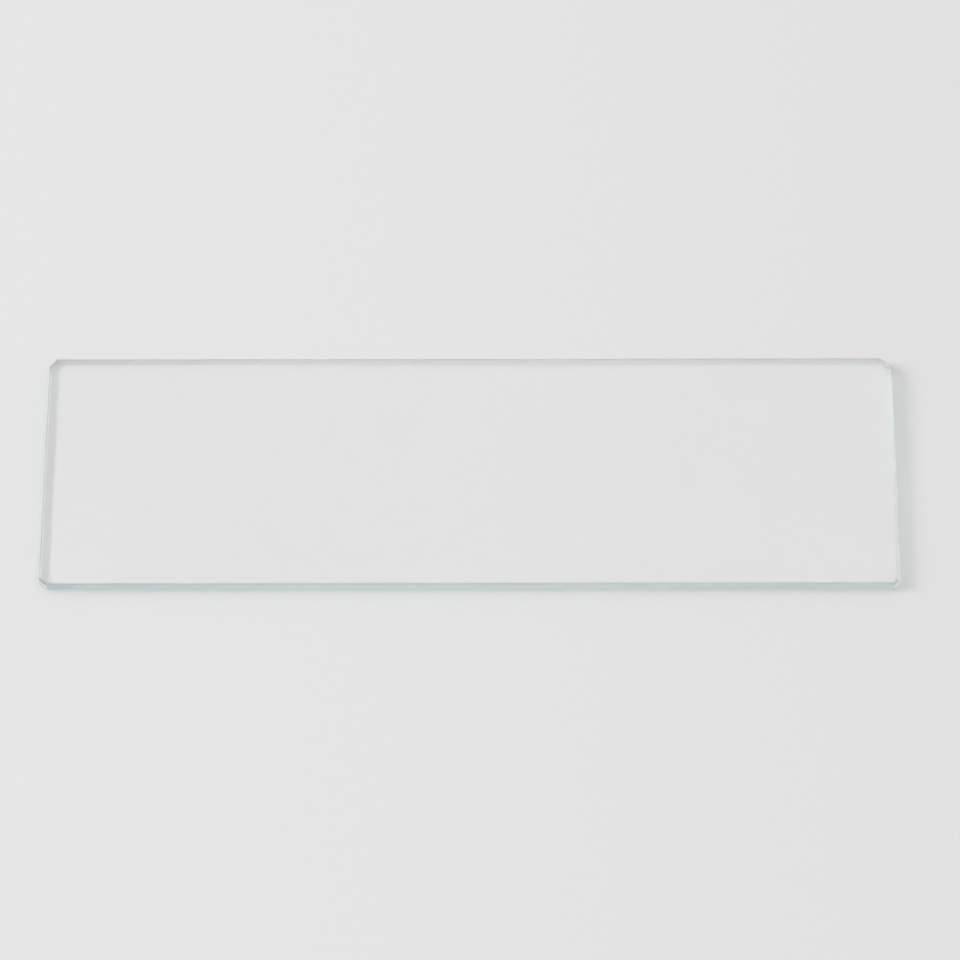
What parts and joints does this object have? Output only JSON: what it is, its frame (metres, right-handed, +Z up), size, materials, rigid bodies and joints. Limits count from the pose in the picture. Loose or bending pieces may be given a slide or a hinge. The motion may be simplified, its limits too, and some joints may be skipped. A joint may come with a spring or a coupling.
{
  "type": "microscope slide",
  "caption": "Plain clear glass microscope slide: a thin flat rectangular plate with ground edges, fine bevelled rims and small clipped corners.",
  "frame": {"origin": "centre of the underside, on the surface the slide lies on", "axes": "+X along the length, +Y across the width, +Z up through the thickness"},
  "size_m": [0.076, 0.026, 0.001],
  "materials": {
    "clear_glass": "polished faces, fine ground edges with a faint green tint through their depth"
  },
  "bodies": {
    "root": {"glass_slide": "clear_glass"}
  },
  "joints": []
}
